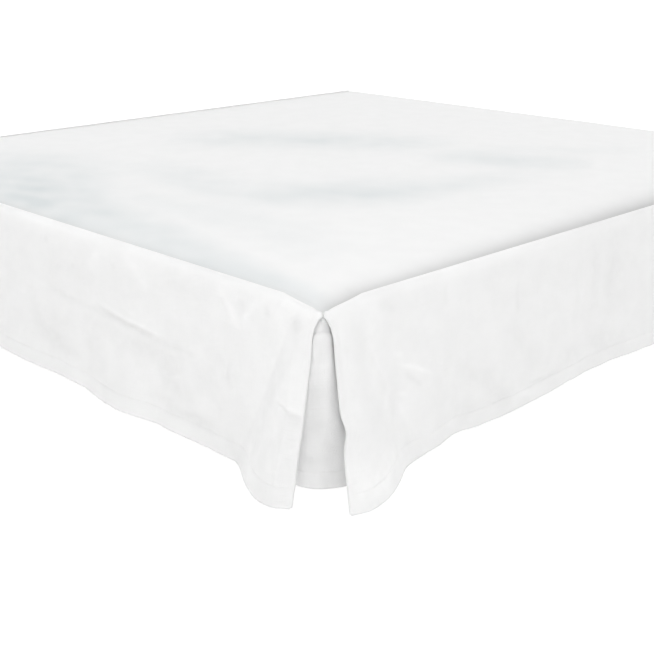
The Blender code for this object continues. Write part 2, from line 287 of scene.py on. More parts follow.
thread = {
    "light": (0.92, 0.92, 0.915, 1.0), "deep": (0.84, 0.84, 0.835, 1.0), "twist": 2600.0, "roughness": 0.6,
}
wood = {
    "pale": (0.66, 0.53, 0.38, 1.0), "dark": (0.45, 0.33, 0.21, 1.0), "coat": 0.15,
    "grain": 55.0, "length": 3.0, "waviness": 1.2, "pores": 14.0,
    "fromPores": 0.3, "fromRings": 0.8, "roughness": (0.35, 0.25),  # least, and what the rings add
    "poreStrength": 0.4, "poreDepth": 0.0003,
}


def threadMaterial():
    material, tree, shader = newMaterial("sewingThread", {"Roughness": thread["roughness"]})
    place = addNode(tree, "ShaderNodeTexCoord").outputs["Object"]
    plies = noise(tree, place, thread["twist"], 1.0).outputs["Fac"]
    tree.links.new(mixColour(tree, plies, thread["deep"], thread["light"]), shader.inputs["Base Color"])
    return material


def woodMaterial():
    material, tree, shader = newMaterial("turnedBeech", {"Coat Weight": wood["coat"]})
    parts = addNode(tree, "ShaderNodeSeparateXYZ", i0=addNode(tree, "ShaderNodeTexCoord").outputs["Object"])
    x, y, z = (calc(tree, "MULTIPLY", part, wood[scale])
               for part, scale in zip(parts.outputs, ("grain", "grain", "length")))
    flat = addNode(tree, "ShaderNodeCombineXYZ", X=x, Y=y, Z=z).outputs[0]
    rings = noise(tree, flat, 1.0, 5.0, Distortion=wood["waviness"]).outputs["Fac"]
    pores = noise(tree, flat, wood["pores"], 2.0).outputs["Fac"]
    fromRings = calc(tree, "MULTIPLY", rings, wood["fromRings"])
    tone = calc(tree, "MULTIPLY_ADD", pores, wood["fromPores"], fromRings)
    tree.links.new(mixColour(tree, tone, wood["pale"], wood["dark"]), shader.inputs["Base Color"])
    least, added = wood["roughness"]
    tree.links.new(calc(tree, "MULTIPLY_ADD", rings, added, least), shader.inputs["Roughness"])
    bump = addNode(tree, "ShaderNodeBump", Strength=wood["poreStrength"], Distance=wood["poreDepth"],
                   Height=pores)
    tree.links.new(bump.outputs["Normal"], shader.inputs["Normal"])
    return material


threadLook = threadMaterial()
woodLook = woodMaterial()
print("materials made")


# how drawn and chance creases and waves look
crumpling = {"fadePower": 0.6, "turnSpread": 0.7, "bow": 0.35, "waves": 26, "wavePower": 0.8}


def smoothStep(x):
    x = np.clip(x, 0.0, 1.0)
    return x * x * (3 - 2 * x)


def rise(x, start, over):
    # 0 before start, 1 once past it by over
    return smoothStep((x - start) / over)


def softBump(offset, near, far, power=1.4):
    # 1 in the middle, 0 past near on one side and far on the other
    share = np.where(offset > 0, offset / far, offset / near)
    return np.cos(np.pi / 2 * np.clip(share, -1, 1)) ** power


def hump(x, middle, width):
    return np.exp(-(((x - middle) / width) ** 2))


def creaseField(s, d, points, width, height):
    # a soft ridge (or a trough, if height is negative) along a line, fading out at its ends
    nearest = np.full(s.shape, 1e9)
    along = np.zeros(s.shape)
    points = [np.array(p, float) for p in points]
    lengths = [np.linalg.norm(b - a) for a, b in zip(points, points[1:])]
    total = sum(lengths)
    done = 0.0
    for a, b, length in zip(points, points[1:], lengths):
        direction = (b - a) / length
        t = np.clip((s - a[0]) * direction[0] + (d - a[1]) * direction[1], 0, length)
        away = np.hypot(s - a[0] - t * direction[0], d - a[1] - t * direction[1])
        closer = away < nearest
        nearest = np.where(closer, away, nearest)
        along = np.where(closer, done + t, along)
        done += length
    fade = np.sin(np.pi * np.clip(along / total, 0, 1)) ** crumpling["fadePower"]
    return height * fade * np.exp(-((nearest / width) ** 2))


def drawnLine(s, d, points, width, height):
    # a line of the tables, whose points and half width are in millimetres
    return creaseField(s, d, np.array(points) * millimetre, width * millimetre, height)


def drawnLines(s, d, rows, unit=1.0):
    return sum(drawnLine(s, d, points, width, height * unit) for points, width, height in rows)


def scatterCreases(s, d, seed, count, area, lengths, widths, heights, lean):
    # small chance creases of a handled cloth, the same ones each run
    rng = np.random.default_rng(seed)
    field = np.zeros(s.shape)
    (lowS, highS), (lowD, highD) = area
    for _ in range(count):
        middle = np.array([rng.uniform(lowS, highS), rng.uniform(lowD, highD)])
        angle = lean + rng.normal(0, crumpling["turnSpread"])
        half = np.array([math.cos(angle), math.sin(angle)]) * rng.uniform(*lengths) / 2
        bow = np.array([-half[1], half[0]]) * rng.uniform(-crumpling["bow"], crumpling["bow"])
        height = rng.uniform(*heights) * rng.choice([-1, 1])
        field += creaseField(s, d, [middle - half, middle + bow, middle + half], rng.uniform(*widths), height)
    return field


def rumple(s, d, seed, shortest, longest, height):
    # gentle unevenness: many small waves in all directions, of wavelengths from shortest to longest
    rng = np.random.default_rng(seed)
    field = np.zeros(s.shape)
    for _ in range(crumpling["waves"]):
        wavelength = math.exp(rng.uniform(math.log(shortest), math.log(longest)))
        angle, phase = rng.uniform(0, math.pi), rng.uniform(0, 2 * math.pi)
        turn = 2 * math.pi / wavelength
        field += (wavelength / longest) ** crumpling["wavePower"] * np.sin(
            turn * (s * math.cos(angle) + d * math.sin(angle)) + phase)
    return height * field / math.sqrt(crumpling["waves"] / 2)


def crumpled(look, s, d, seed, area):
    # the waves and the chance creases that a cloth's dictionary lists
    waves = [rumple(s, d, seed + step, *wave) for step, *wave in look["waves"]]
    chance = [scatterCreases(s, d, seed + step, count, area, *sizes)
              for step, count, *sizes in look["chance"]]
    return sum(waves + chance)


def uneven(s, d, seed, share, shortest, longest):
    return 1 + rumple(s, d, seed, shortest, longest, share)


def ripples(run, length, drift, driftTurn, groupLength, phase=0.0):
    # ripples of uneven length that come in groups
    turn = 2 * np.pi * run
    return np.sin(turn / length + drift * np.sin(run * driftTurn)) * np.sin(turn / groupLength + phase)


def stretches(*runs):
    # positions along a run, from (start, end, step) stretches that follow each other
    found = [runs[0][0]]
    for start, end, step in runs:
        count = max(1, round((end - start) / step))
        found += [start + (end - start) * (i + 1) / count for i in range(count)]
    return np.array(found)


def hemRuns(hemTop, bottom):
    above, below, fine, coarse = cloth["hemLineRows"]
    return (hemTop - above, hemTop + below, fine), (hemTop + below, bottom, coarse)


def nearestIndex(places, place):
    return int(np.argmin(np.abs(places - place)))


def seamDroop(distance):
    # how far the seam sags towards a foot corner
    return cloth["droop"] * (1 - np.clip(distance / cloth["droopLength"], 0, 1) ** cloth["droopPower"])


def flareWidth(share):
    return cloth["flareApex"] + (1 - cloth["flareApex"]) * share


def meshObject(name, bm, material):
    for face in bm.faces:
        face.smooth = True
    mesh = bpy.data.meshes.new(name)
    bm.to_mesh(mesh)
    bm.free()
    mesh.materials.append(material)
    piece = bpy.data.objects.new(name, mesh)
    bpy.context.scene.collection.objects.link(piece)
    return piece


def sheetObject(name, columns, rows, points, cut, material, doubled, flip, paintedMarks):
    # a grid whose points are moved to the cloth's shape; doubled flags the hems' extra layer, and the named
    # layers carry painted light and shade
    bm = bmesh.new()
    bmesh.ops.create_grid(bm, x_segments=len(columns) - 1, y_segments=len(rows) - 1, size=0.5)
    for vert, place in zip(bm.verts, points.reshape(-1, 3)):
        vert.co = place
    if flip:
        bmesh.ops.reverse_faces(bm, faces=bm.faces)
    uvLayer = bm.loops.layers.uv.new(cloth["uvLayer"])
    cut = cut.reshape(-1, 2)
    for face in bm.faces:
        for loop in face.loops:
            loop[uvLayer].uv = cut[loop.vert.index]
    for label, values in paintedMarks.items():
        paintedLayer = bm.verts.layers.float.new(label)
        for vert, value in zip(bm.verts, values.reshape(-1).tolist()):
            vert[paintedLayer] = value
    piece = meshObject(name, bm, material)
    layer = piece.vertex_groups.new(name="layers")
    single = cloth["thickness"] / cloth["hemThickness"]
    doubled = doubled.reshape(-1)
    layer.add(np.flatnonzero(doubled).tolist(), 1.0, "REPLACE")
    layer.add(np.flatnonzero(~doubled).tolist(), single, "REPLACE")
    solid = piece.modifiers.new("thickness", "SOLIDIFY")
    solid.thickness = cloth["hemThickness"]
    solid.offset = -1.0
    solid.vertex_group = layer.name
    solid.use_rim = True
    return piece


stitching = {"pitch": 0.0034, "length": 0.0029, "width": 0.00034, "sunk": 0.00015,
             "sideInset": 0.0025, "sideFrom": 0.010, "headInset": 0.002}


def stitchRow(bm, places, normals):
    # short rounded stitches that follow each other along places, half sunk into the cloth
    steps = np.linalg.norm(np.diff(places, axis=0), axis=1)
    runs = np.concatenate([[0], np.cumsum(steps)])
    size = Matrix.Diagonal((stitching["length"] / 2, stitching["width"] / 2, stitching["width"] / 2, 1))
    for i in range(int(runs[-1] / stitching["pitch"])):
        at = (i + 0.5) * stitching["pitch"]
        k = min(int(np.searchsorted(runs, at)), len(places) - 1)
        share = (at - runs[k - 1]) / max(runs[k] - runs[k - 1], 1e-9)
        place = Vector(places[k - 1] + (places[k] - places[k - 1]) * share)
        forward = Vector(places[k] - places[k - 1]).normalized()
        up = Vector(normals[k])
        up = (up - forward * up.dot(forward)).normalized()
        place -= up * stitching["sunk"]
        axes = Matrix((forward, up.cross(forward), up)).transposed().to_4x4()
        laid = Matrix.Translation(place) @ axes @ size
        bmesh.ops.create_icosphere(bm, subdivisions=1, radius=1.0, matrix=laid)


def sewRows(name, rows):
    bm = bmesh.new()
    for places, normals in rows:
        stitchRow(bm, places, normals)
    return meshObject(name + "Stitches", bm, threadLook)


def gridNormals(points):
    # outward normals of a grid of points, from its neighbours
    normals = np.cross(np.gradient(points, axis=1), np.gradient(points, axis=0))
    return normals / np.maximum(np.linalg.norm(normals, axis=2, keepdims=True), 1e-9)


# the hanging panels, with what all three share
hanging = {
    # the roll in from the seam, which grows to its full depth away from a slit
    "rollIn": 0.0050, "rollHeight": 0.011, "rollFull": (0.004, 0.030), "tuckIn": 0.0030, "tuckAtSlit": 0.4,
    "shoulder": 0.0055, "shoulderLength": 0.024, "ridgeDrop": 0.0026,
    "foldStart": 0.05, "foldNarrowing": 0.3, "foldPower": 1.3,
    # the slit's edge: how it opens, its kink and the wider mouth at its top
    "openingFrom": 0.021, "openingShare": 0.040, "openingPower": 0.85, "openingFade": 0.25, "roundLength": 3,
    "kinkAt": 0.60, "kinkWidth": 0.06, "mouthFrom": 0.10, "mouthAt": 0.14, "mouthWidth": 0.075,
    "hemUneven": 0.0012, "hemWaves": 5, "hemWaveStart": 0.7, "hemClimb": 0.0030, "hemRiseOver": 0.28,
    "hemChance": (0.02, 0.12, 0.0007), "hemSeed": 4,
    # waves over the cloth: seed step, shortest, longest, height
    "waves": [(0, 0.035, 0.16, 0.0008), (1, 0.014, 0.04, 0.00020)],
    # chance creases: seed step, count, lengths, half widths, heights, lean
    "chance": [(2, 70, (0.03, 0.12), (0.004, 0.009), (0.0002, 0.0007), 0.0),
               (3, 18, (0.08, 0.20), (0.010, 0.022), (0.0005, 0.0012), 0.2)],
    "margin": 0.02,
    # short upright ripples that die out below the seam: length, drift, its turn, length of a group
    "pucker": (0.017, 2.1, 23, 0.113), "puckerHeight": 0.0004, "puckerFade": 0.016, "smoothTop": 0.012,
    # how the hems' second layer starts: from how far over its edge, and over what length
    "hemStepRise": (0.0030, 0.0065), "sideStepRise": 0.002,
    # unevenness of the painted crease shade and highlight and of the ridge's painted highlight: share,
    # shortest and longest wave
    "paintedMarksUneven": (0.25, 0.012, 0.05), "paintedMarksSeed": 6, "paintedLightUneven": (0.18, 0.02, 0.3), "paintedLightSeed": 99,
    "paintedLightLength": 0.021, "paintedLightPower": 1.3,
    # the grid: where its fine and middle columns end, and its upper rows
    "nearTo": 0.36, "midTo": 1.02, "farSlit": 0.30, "tuckRows": (-1.0, -0.75, -0.5, -0.25, -0.1),
    "seamRows": ((0.0, 0.0012, 0.0004), (0.0012, 0.008, 0.0012), (0.008, 0.020, 0.003)),
}


def foldReach(fold, s, share, length):
    *sizes, fansFrom = fold
    along, near, far, reach = (size * millimetre for size in sizes)
    if fansFrom == "first":
        width, power, middle = flareWidth(share), 1.0, along * flareWidth(share)
    elif fansFrom == "last":
        width, power, middle = flareWidth(share), 1.0, length - (length - along) * flareWidth(share)
    else:
        width, power, middle = 1 - hanging["foldNarrowing"] * (1 - share), hanging["foldPower"], along
    return reach * share**power * softBump(s - middle, near * width, far * width)


def slitShift(panel, along, share):
    opened = np.maximum(0, share - hanging["openingFrom"]) / hanging["openingShare"]
    shift = panel["opening"] * (1 - np.exp(-(opened ** hanging["openingPower"])))
    shift = shift - panel["comeback"] * share
    shift = shift + panel["kink"] * hump(share, hanging["kinkAt"], hanging["kinkWidth"])
    mouth = panel["mouth"] * hump(share, hanging["mouthAt"], hanging["mouthWidth"])
    shift = shift + mouth * smoothStep(share / hanging["mouthFrom"])
    shift = shift * np.maximum(0, 1 - along / hanging["openingFade"])
    # the hem's corner is turned in, not sharp
    radius = panel["roundCorner"]
    intoCorner = np.clip(1 - (1 - share) * cloth["drop"] / radius, 0, 1)
    fade = np.maximum(0, 1 - along / (hanging["roundLength"] * radius))
    return shift + radius * (1 - np.sqrt(1 - intoCorner ** 2)) * fade


def panelDetail(panel, s, d):
    # everything finer than the main folds, in metres outwards
    look, length, drop = hanging, panel["length"], cloth["drop"]
    down = np.maximum(d, 0)
    area = ((0.0, length), (look["margin"], drop - look["margin"]))
    fine = panel["unevenness"] * crumpled(look, s, down, panel["seed"], area)
    fine = fine + drawnLines(s, down, panel["creases"], millimetre)
    fine += look["puckerHeight"] * ripples(s, *look["pucker"]) * np.exp(-down / look["puckerFade"])
    fine *= smoothStep(down / look["smoothTop"])
    # the hem's and the side hems' second layer stands a little proud
    before, over = look["hemStepRise"]
    fine += cloth["hemStep"] * rise(down, drop - cloth["hemHeight"] - before, over)
    for edge in ([s, length - s] if panel["slitAtEnd"] else [s]):
        fine += cloth["hemStep"] / 2 * smoothStep((cloth["sideHem"] - edge) / look["sideStepRise"])
    return fine


def panelPaintedShading(panel, s, d):
    # painted shade (1) and painted highlight (-1) along the creases and in patches where shade and light fall
    # on the cloth
    down = np.maximum(d, 0)
    seed = panel["seed"] + hanging["paintedMarksSeed"]
    return drawnLines(s, down, panel["paintedMarks"]) * uneven(s, down, seed, *hanging["paintedMarksUneven"])


def panelPoints(panel, s, d):
    length, drop = panel["length"], cloth["drop"]
    down = np.maximum(d, 0)
    fullShare = down / drop
    share = np.maximum(0, fullShare - hanging["foldStart"]) / (1 - hanging["foldStart"])
    toSlit = np.minimum(s, length - s) if panel["slitAtEnd"] else s
    rollShare = rise(toSlit, *hanging["rollFull"])
    fromTop = np.clip(down / hanging["rollHeight"], 0, 1)
    out = cloth["solidCloth"] - hanging["rollIn"] * rollShare * (1 - np.sqrt(1 - (1 - fromTop) ** 2))
    out = out + hanging["shoulder"] * rollShare * (1 - np.exp(-down / hanging["shoulderLength"]))
    steady = panel["leanFirst"] + (panel["leanLast"] - panel["leanFirst"]) * s / length
    out = out + steady * share ** hanging["foldPower"]
    for fold in panel["folds"]:
        out = out + foldReach(fold, s, share, length)
    out = out + panelDetail(panel, s, d)
    shift = slitShift(panel, s, fullShare)
    seam = seamZ - hanging["ridgeDrop"] - panel["ridgeSag"] * s - seamDroop(s)
    if panel["slitAtEnd"]:
        shift = shift - slitShift(panel, length - s, fullShare)
        seam = seam - seamDroop(length - s)
    wave = np.sin(2 * np.pi * hanging["hemWaves"] * s / length + hanging["hemWaveStart"])
    hem = cloth["hemClearance"] + hanging["hemUneven"] * (1 + wave) / 2
    hem = hem + rumple(s, s * 0, panel["seed"] + hanging["hemSeed"], *hanging["hemChance"])
    hem = hem + (panel["hemRise"] + hanging["hemClimb"] * s) * smoothStep(s / hanging["hemRiseOver"])
    height = seam + (hem - seam) * down / drop
    # above the seam's ridge the cloth turns in and down to where it is sewn to the deck
    turned = np.maximum(-d, 0) * math.pi / 2
    out = out - hanging["tuckIn"] * rollShare * np.sin(turned)
    atSlit = hanging["tuckAtSlit"]
    height = height - panel["tuckDown"] * (1 - np.cos(turned)) * (atSlit + (1 - atSlit) * rollShare)
    corner = np.array([*panel["corner"], 0.0])
    along = np.array([*panel["along"], 0.0])
    outward = np.array([*panel["outward"], 0.0])
    up = np.array([0.0, 0.0, 1.0])
    return corner + along * (s + shift)[..., None] + outward * out[..., None] + up * height[..., None]


def makePanel(panel):
    length, drop = panel["length"], cloth["drop"]
    near, mid, farSlit = hanging["nearTo"], hanging["midTo"], hanging["farSlit"]
    last = length - panel["start"] if panel["slitAtEnd"] else length
    runs = [(panel["start"], near, panel["nearStep"]), (near, mid, panel["midStep"])]
    if panel["slitAtEnd"]:
        runs += [(mid, last - farSlit, panel["farStep"]), (last - farSlit, last, panel["midStep"])]
    else:
        runs += [(mid, last, panel["farStep"])]
    columns = stretches(*runs)
    hemTop = drop - cloth["hemHeight"]
    hemRows = hemRuns(hemTop, drop)
    seamRows = hanging["seamRows"]
    rows = np.concatenate([hanging["tuckRows"], stretches(
        *seamRows, (seamRows[-1][1], hemRows[0][0], panel["rowStep"]), *hemRows)])
    s, d = np.meshgrid(columns, rows)
    points = panelPoints(panel, s, d)
    doubled = (d > hemTop) | (s < cloth["sideHem"])
    if panel["slitAtEnd"]:
        doubled |= s > length - cloth["sideHem"]
    cut = np.stack([s, d], axis=-1) + panel["cutOffset"]
    # painted highlight on the ridge under the seam, fading downwards
    fromSeam = np.maximum(d, 0) / hanging["paintedLightLength"]
    paintedLight = np.interp(s / millimetre, *zip(*panel["paintedLightAt"]))
    paintedLight *= np.exp(-(fromSeam ** hanging["paintedLightPower"]))
    paintedLight *= uneven(s, s * 0, hanging["paintedLightSeed"], *hanging["paintedLightUneven"])
    piece = sheetObject(panel["name"], columns, rows, points, cut, linenMaterial, doubled, panel["flip"],
                        {"paintedLight": np.clip(paintedLight, 0, 1), "paintedShading": panelPaintedShading(panel, s, d)})
    normals = gridNormals(points) * (1 if panel["flip"] else -1)
    return piece, columns, rows, points, normals


def sewPanel(panel, columns, rows, points, normals):
    # the hem's stitches and those of the narrow side hems
    line = nearestIndex(rows, cloth["drop"] - cloth["hemHeight"] + cloth["hemStitchBelow"])
    sewing = [(points[line], normals[line])]
    inset = cloth["sideHem"] - stitching["sideInset"]
    top = nearestIndex(rows, stitching["sideFrom"])
    for place in ([inset, panel["length"] - inset] if panel["slitAtEnd"] else [inset]):
        column = nearestIndex(columns, place)
        sewing.append((points[top:, column], normals[top:, column]))
    return sewRows(panel["name"], sewing)


# in the tables all lengths are in millimetres
# folds: distance from the first corner, half widths each way, reach at the hem, the corner it fans from
footPanel = {
    "name": "footPanel", "node": "panel_foot", "seed": 11,
    "corner": (halfWidth, footY), "along": (-1, 0), "outward": (0, -1), "length": 2 * halfWidth,
    "slitAtEnd": True, "flip": True, "start": -0.0018, "tuckDown": 0.0110,
    "leanFirst": 0.030, "leanLast": 0.026, "ridgeSag": 0.0, "roundCorner": 0.006,
    "unevenness": 1.0, "hemRise": 0.0022,
    # how much painted highlight the ridge under the seam carries: (along, share) points
    "paintedLightAt": [(40, 0.4), (90, 0.54), (200, 0.42), (340, 0.44), (490, 0.72), (660, 0.95), (900, 1.0),
                 (1300, 0.7)],
    "opening": 0.0206, "comeback": 0.035, "kink": 0.0, "mouth": 0.0026,
    "folds": [
        (48, 140, 156, 75, "first"),
        (400, 120, 100, 5, None),
        (560, 120, 160, 22, None),
        (980, 180, 150, 6, None),
        (1300, 160, 200, 17, None),
        (1885, 180, 120, 70, "last"),
    ],
    # creases: the line they follow as (along, down) points, half width, height
    "creases": [
        ([(660, 154), (600, 159), (540, 165), (490, 173), (436, 178), (370, 178)], 6.5, -2.8),
        ([(690, 146), (600, 150), (530, 156), (440, 166)], 9, 2),
        ([(860, 150), (800, 160), (730, 160), (640, 164)], 7.5, -1.8),
        ([(285, 10), (240, 51), (204, 90)], 10, 2.4),
        ([(155, 20), (188, 57), (204, 90)], 9, 2),
        ([(210, 30), (200, 60)], 8, -1.6),
        ([(640, 8), (680, 39), (715, 70)], 14, 1.8),
        ([(570, 10), (532, 48), (495, 78)], 12, 2.2),
        ([(85, 20), (60, 93), (36, 190)], 24, 1.6),
        ([(64, 184), (32, 187), (0, 194)], 5, -2.1),
        ([(60, 174), (30, 177), (0, 183)], 6.5, 1.4),
        ([(138, 30), (110, 48)], 8, -1.4),
        ([(232, 160), (237, 190), (222, 215)], 6.5, -1.6),
        ([(400, 309), (332, 307), (262, 308)], 10, -2.2),
        ([(475, 296), (388, 292)], 12, -1.4),
        ([(930, 236), (852, 266), (780, 290)], 20, -2.2),
        ([(440, 236), (384, 258), (340, 278)], 16, -1.8),
        ([(550, 200), (464, 207), (370, 212)], 20, -1.8),
    ],
    # painted shade (above 0) or painted highlight along creases and folds, where shade and light fall on
    # them: the line, half width, strength
    "paintedMarks": [
        ([(680, 152), (600, 159), (530, 167), (450, 177)], 5.8, 1.85),
        ([(470, 177), (368, 176), (325, 182)], 6, 0.6),
        ([(700, 145), (600, 149), (530, 155), (440, 166)], 8, -0.35),
        ([(580, 188), (470, 206), (350, 214)], 24, 0.85),
        ([(870, 148), (800, 160), (735, 160)], 7, 0.6),
        ([(740, 162), (652, 166), (584, 163)], 6, 0.45),
        ([(285, 6), (240, 51), (202, 94)], 12, -0.7),
        ([(150, 16), (188, 57), (206, 94)], 10, -0.6),
        ([(640, 4), (680, 39), (715, 72)], 20, -0.45),
        ([(572, 6), (532, 48), (495, 80)], 16, -0.6),
        ([(92, 12), (60, 93), (30, 190)], 27, -0.55),
        ([(58, 24), (26, 46)], 13, 1.3),
        ([(66, 183), (32, 187), (-6, 196)], 4.8, 0.95),
        ([(66, 173), (30, 177), (-6, 184)], 5.5, -0.4),
        ([(34, 198), (-6, 208)], 9, 0.55),
        ([(232, 162), (237, 190), (222, 216)], 6, 0.65),
        ([(940, 232), (852, 265), (775, 292)], 30, 0.85),
        ([(830, 291), (715, 288)], 14, 0.4),
        ([(700, 224), (700, 268)], 12, 0.45),
        ([(620, 292), (616, 345)], 12, 0.35),
        ([(450, 234), (384, 257), (330, 281)], 21, 0.75),
        ([(490, 297), (375, 293)], 11, 0.45),
        ([(420, 310), (332, 306), (244, 309)], 15, 1.0),
        ([(245, 294), (222, 318), (196, 346)], 14, 0.4),
        ([(140, 29), (108, 49)], 7.5, 0.6),
        ([(212, 32), (188, 60)], 10, 0.45),
        ([(480, 54), (356, 50), (290, 68)], 26, 0.32),
        ([(920, 96), (800, 108), (690, 128)], 34, 0.25),
        ([(670, 198), (590, 250), (604, 300)], 20, -0.32),
        ([(260, 230), (255, 300)], 30, 0.35),
        ([(925, 336), (600, 340), (280, 346)], 12, -0.3),
        ([(775, 80), (768, 93)], 6, 0.6),
        ([(618, 50), (606, 58)], 6, 0.6),
        ([(884, 38), (868, 52)], 7, 0.6),
        ([(86, 90), (104, 170), (122, 225), (150, 290), (136, 338), (60, 360)], 35, -0.78),
        ([(160, 296), (112, 324), (80, 350)], 22, -0.75),
        ([(82, 120), (66, 182), (82, 250), (106, 310)], 20, -0.85),
        ([(30, 180), (18, 290), (10, 365)], 20, 0.62),
        ([(300, 100), (250, 170), (280, 260)], 42, 0.34),
        ([(330, 185), (300, 255)], 28, 0.62),
        ([(870, 214), (780, 226)], 20, 0.5),
    ],
    "nearStep": 0.0042, "midStep": 0.0055, "farStep": 0.0072, "rowStep": 0.0046,
    "cutOffset": (0.0, 0.0),
}
rightPanel = {
    "name": "rightPanel", "node": "panel_right", "seed": 31,
    "corner": (halfWidth, footY), "along": (0, 1), "outward": (1, 0), "length": headY - footY,
    "slitAtEnd": False, "flip": False, "start": -0.0004, "tuckDown": 0.0180,
    "leanFirst": 0.002, "leanLast": 0.006, "ridgeSag": 0.0014, "roundCorner": 0.003,
    "unevenness": 0.6, "hemRise": 0.0042,
    # painted highlight on the ridge under the seam
    "paintedLightAt": [(60, 0.26), (140, 0.32), (340, 0.66), (560, 0.62), (850, 0.34), (1200, 0.4)],
    "opening": 0.021, "comeback": 0.056, "kink": 0.010, "mouth": 0.0027,
    "folds": [
        (30, 150, 220, 106, "first"),
        (250, 75, 120, 23, None),
        (480, 160, 360, 20, None),
        (1120, 200, 170, 12, None),
        (1560, 150, 210, 19, None),
        (1960, 160, 110, 14, None),
    ],
    "creases": [
        ([(180, 154), (228, 172), (280, 202)], 5.5, 1.2),
        ([(206, 182), (245, 212)], 6.5, -1.6),
        ([(148, 164), (160, 201), (138, 226)], 8, 0.7),
        ([(590, 309), (652, 314), (710, 312)], 5.5, -2.2),
        ([(128, 24), (172, 44)], 11, -1.6),
        ([(552, 70), (549, 108), (552, 146)], 7.5, -1.4),
        ([(320, 24), (320, 70)], 8, -1.1),
        ([(360, 208), (412, 236), (455, 258)], 20, -2),
        ([(440, 262), (476, 295), (512, 325)], 22, -2),
        ([(525, 160), (584, 225), (625, 276)], 18, -1.8),
        ([(780, 40), (785, 150), (775, 230)], 12, -1.4),
        ([(835, 40), (838, 180)], 10, 1.4),
        ([(905, 30), (908, 190)], 11, -1.4),
    ],
    # painted shade (above 0) and painted highlight along creases and folds
    "paintedMarks": [
        ([(180, 153), (228, 171), (278, 201)], 4.8, -0.8),
        ([(204, 178), (246, 214)], 6.5, 0.8),
        ([(150, 160), (161, 200), (136, 228)], 8.5, -0.28),
        ([(172, 133), (200, 140)], 5.5, -0.6),
        ([(180, 216), (214, 221)], 5.5, -0.6),
        ([(124, 22), (176, 46)], 12, 0.65),
        ([(552, 68), (549, 108), (552, 148)], 6.5, 0.7),
        ([(320, 22), (320, 74)], 7, 0.45),
        ([(354, 204), (412, 236), (460, 262)], 24, 0.55),
        ([(430, 254), (476, 295), (520, 332)], 26, 0.6),
        ([(335, 282), (392, 318), (440, 350)], 28, 0.55),
        ([(520, 155), (584, 225), (630, 280)], 22, 0.45),
        ([(700, 258), (810, 316)], 20, 0.4),
        ([(810, 262), (960, 332)], 34, 0.45),
        ([(588, 309), (652, 314), (712, 312)], 4.8, 0.9),
        ([(520, 328), (670, 334)], 11, -0.45),
        ([(192, 262), (164, 300), (204, 330)], 18, 0.4),
        ([(790, 40), (900, 120), (940, 240)], 75, 0.4),
        ([(832, 40), (836, 210)], 10, 0.35),
        ([(908, 20), (906, 210)], 12, 0.35),
        ([(866, 50), (869, 210)], 9, -0.3),
        ([(30, 0), (36, 200)], 36, -0.35),
        ([(380, 20), (600, 26)], 22, 0.3),
        ([(0, 305), (200, 322)], 36, -0.85),
        ([(112, 140), (138, 215), (154, 280)], 26, -0.6),
        ([(198, 228), (182, 275), (166, 325)], 16, -0.6),
        ([(-10, 280), (36, 325), (110, 348)], 28, -0.6),
        ([(150, 190), (158, 300)], 14, -0.22),
        ([(112, 10), (110, 90), (106, 180)], 26, -0.6),
    ],
    "nearStep": 0.0042, "midStep": 0.0055, "farStep": 0.0082, "rowStep": 0.0046,
    "cutOffset": (3.1, 0.0),
}
leftPanel = {
    "name": "leftPanel", "node": "panel_left", "seed": 51,
    "corner": (-halfWidth, footY), "along": (0, 1), "outward": (-1, 0), "length": headY - footY,
    "slitAtEnd": False, "flip": True, "start": -0.0004, "tuckDown": 0.0180,
    "leanFirst": 0.010, "leanLast": 0.008, "ridgeSag": 0.0, "roundCorner": 0.005,
    "unevenness": 0.9, "hemRise": 0.0030,
    # painted highlight on the ridge under the seam
    "paintedLightAt": [(60, 0.4), (600, 0.6)],
    "opening": 0.018, "comeback": 0.040, "kink": 0.005, "mouth": 0.0027,
    "folds": [
        (45, 145, 170, 88, "first"),
        (300, 110, 130, 20, None),
        (720, 180, 160, 21, None),
        (1250, 210, 180, 13, None),
        (1700, 160, 180, 20, None),
    ],
    "creases": [
        ([(210, 30), (250, 110)], 10, 2),
        ([(420, 180), (600, 165), (780, 172)], 9, -2.2),
        ([(1100, 120), (1300, 150), (1420, 148)], 10, -2),
        ([(1550, 50), (1580, 140)], 9, 1.6),
    ],
    # painted shade (above 0) and painted highlight along creases and folds
    "paintedMarks": [
        ([(200, 10), (250, 120)], 14, -0.55),
        ([(400, 180), (600, 166), (800, 173)], 7.5, 0.75),
        ([(1080, 120), (1300, 151), (1440, 148)], 8.5, 0.6),
        ([(1540, 30), (1580, 150)], 13, -0.45),
        ([(700, 240), (860, 290)], 26, 0.5),
        ([(1700, 230), (1820, 270)], 26, 0.4),
    ],
    "nearStep": 0.0055, "midStep": 0.0075, "farStep": 0.0095, "rowStep": 0.0055,
    "cutOffset": (6.3, 0.0),
}

for panel in (footPanel, rightPanel, leftPanel):
    piece, columns, rows, points, normals = makePanel(panel)
    stitches = sewPanel(panel, columns, rows, points, normals)
    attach(piece, "root")
    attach(stitches, "root")
    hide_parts(panel["node"])
    # the cut has 12 mm for the seam, a turned hem, and side hems of 11 mm
    print(panel["name"], "hung,", len(columns), "by", len(rows), "points")


